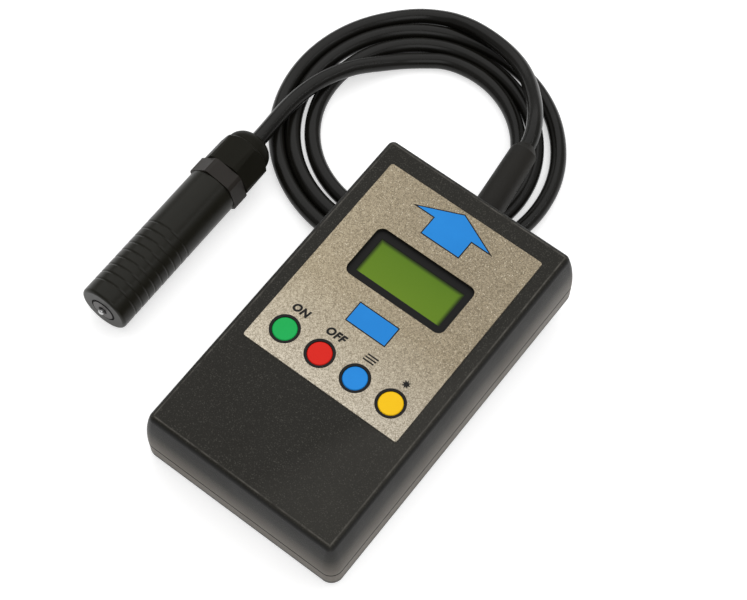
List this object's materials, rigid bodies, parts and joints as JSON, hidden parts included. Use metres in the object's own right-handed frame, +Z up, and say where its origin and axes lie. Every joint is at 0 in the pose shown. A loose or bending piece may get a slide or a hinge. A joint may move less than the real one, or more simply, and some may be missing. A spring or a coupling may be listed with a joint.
{
  "type": "coating thickness gauge",
  "caption": "Handheld coating thickness gauge: curved case with display and four round keys, and a ribbed cylindrical probe on a coiled cord.",
  "frame": {"origin": "on the table, under the middle of the case and the probe taken together without the cord", "axes": "+Z up from the table, +Y along the case towards the end where the cord leaves, +X to the right of the display"},
  "size_m": [0.1527, 0.233, 0.0394],
  "materials": {
    "case_shell": "fine leather-grain texture, near-black charcoal",
    "label_film": "warm silver printed film, satin",
    "key_green": "printed, satin",
    "key_red": "printed, satin",
    "key_blue": "printed, satin",
    "key_yellow": "printed, satin",
    "bezel_black": "black satin lacquer",
    "lcd_panel": "reflective green display, gloss",
    "board": "green solder mask",
    "black_part": "moulded black",
    "switch_body": "moulded black",
    "plunger": "moulded pale",
    "battery_can": "plain wrapped can",
    "screw_steel": "zinc plated",
    "cord_rubber": "satin black",
    "sleeve_rubber": "satin black",
    "gland_plastic": "moulded black",
    "probe_black": "turned black plastic, satin",
    "probe_face": "turned black plastic",
    "core_steel": "hard polished pole",
    "winding_copper": "enamelled wire on its former"
  },
  "bodies": {
    "gauge": {"top_shell": "case_shell", "bottom_shell": "case_shell", "battery_door": "case_shell", "door_screw": "screw_steel", "front_label": "label_film", "lcd_bezel": "bezel_black", "lcd_glass": "lcd_panel", "lcd_board": "board", "lcd_header": "black_part", "main_board": "board", "controller_chip": "black_part", "battery": "battery_can", "battery_snap": "black_part", "cord_sleeve": "sleeve_rubber", "gland_body": "gland_plastic", "gland_seal": "sleeve_rubber", "gland_nut": "gland_plastic", "probe_barrel": "probe_black", "probe_insert": "probe_face", "probe_core": "core_steel", "probe_winding": "winding_copper", "cord_lead_in": "cord_rubber", "cord_coil": "cord_rubber", "cord_lead_out": "cord_rubber", "case_screw_1": "screw_steel", "board_screw_1": "screw_steel", "case_screw_2": "screw_steel", "board_screw_2": "screw_steel", "case_screw_3": "screw_steel", "board_screw_3": "screw_steel", "case_screw_4": "screw_steel", "board_screw_4": "screw_steel", "switch_green": "switch_body", "switch_red": "switch_body", "switch_blue": "switch_body", "switch_yellow": "switch_body"},
    "key_green": {"key_green": "key_green", "plunger_green": "plunger"},
    "key_red": {"key_red": "key_red", "plunger_red": "plunger"},
    "key_blue": {"key_blue": "key_blue", "plunger_blue": "plunger"},
    "key_yellow": {"key_yellow": "key_yellow", "plunger_yellow": "plunger"}
  },
  "joints": [
    {"name": "green_key_press", "type": "slide", "parent": "gauge", "child": "key_green", "axis": [0, 0.0624, -0.9981], "range_m": [0, 0.0005], "stiffness_N_per_m": 3000, "springref_m": -0.0001},
    {"name": "red_key_press", "type": "slide", "parent": "gauge", "child": "key_red", "axis": [0, 0.0624, -0.9981], "range_m": [0, 0.0005], "stiffness_N_per_m": 3000, "springref_m": -0.0001},
    {"name": "blue_key_press", "type": "slide", "parent": "gauge", "child": "key_blue", "axis": [0, 0.0624, -0.9981], "range_m": [0, 0.0005], "stiffness_N_per_m": 3000, "springref_m": -0.0001},
    {"name": "yellow_key_press", "type": "slide", "parent": "gauge", "child": "key_yellow", "axis": [0, 0.0624, -0.9981], "range_m": [0, 0.0005], "stiffness_N_per_m": 3000, "springref_m": -0.0001}
  ]
}
